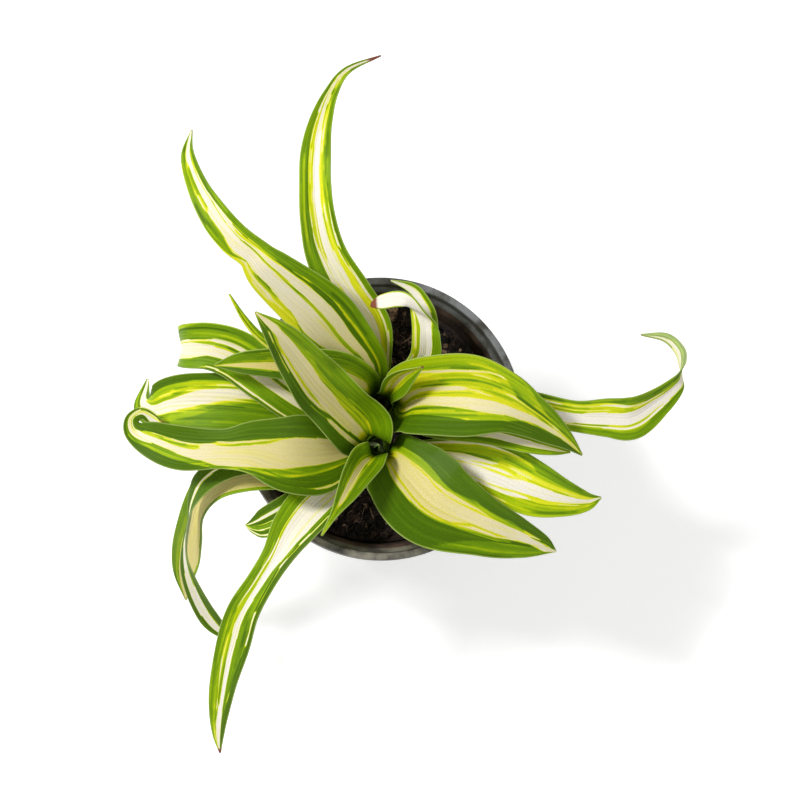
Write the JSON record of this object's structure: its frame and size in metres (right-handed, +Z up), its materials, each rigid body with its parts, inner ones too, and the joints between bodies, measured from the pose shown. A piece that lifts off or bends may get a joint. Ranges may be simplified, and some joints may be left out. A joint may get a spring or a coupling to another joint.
{
  "type": "potted spider plant",
  "caption": "Small potted spider plant: arching green and cream striped leaves from two shoots in a dark plastic nursery pot full of peat soil.",
  "frame": {"origin": "centre of the pot's flat base, on the surface that the pot stands on", "axes": "+Z up out of the pot, +Y towards the far leaf tips along the plant's longest extent, +X towards the leaf with the curled tip"},
  "size_m": [0.141, 0.1716, 0.1024],
  "materials": {
    "pot_plastic": "satin",
    "potting_soil": "matte",
    "crown_flesh": "satin",
    "leaf_blade": "satin"
  },
  "bodies": {
    "root": {"pot": "pot_plastic", "soil": "potting_soil", "crown_front": "crown_flesh", "crown_back": "crown_flesh", "leaf_north_long": "leaf_blade", "leaf_northwest_broad": "leaf_blade", "leaf_northwest_sliver": "leaf_blade", "leaf_west_narrow": "leaf_blade", "leaf_north_folded": "leaf_blade", "leaf_north_small": "leaf_blade", "leaf_northeast_young": "leaf_blade", "leaf_east_broad": "leaf_blade", "leaf_east_hidden": "leaf_blade", "leaf_east_curled": "leaf_blade", "leaf_northwest_upright": "leaf_blade", "leaf_west_hanging": "leaf_blade", "leaf_west_bent": "leaf_blade", "leaf_west_low": "leaf_blade", "leaf_west_broad": "leaf_blade", "leaf_southwest_drooping": "leaf_blade", "leaf_southwest_twisted": "leaf_blade", "leaf_southwest_short": "leaf_blade", "leaf_southwest_long": "leaf_blade", "leaf_southwest_young": "leaf_blade", "leaf_southeast_broad": "leaf_blade", "leaf_southeast_lower": "leaf_blade", "leaf_spear": "leaf_blade"}
  },
  "joints": []
}
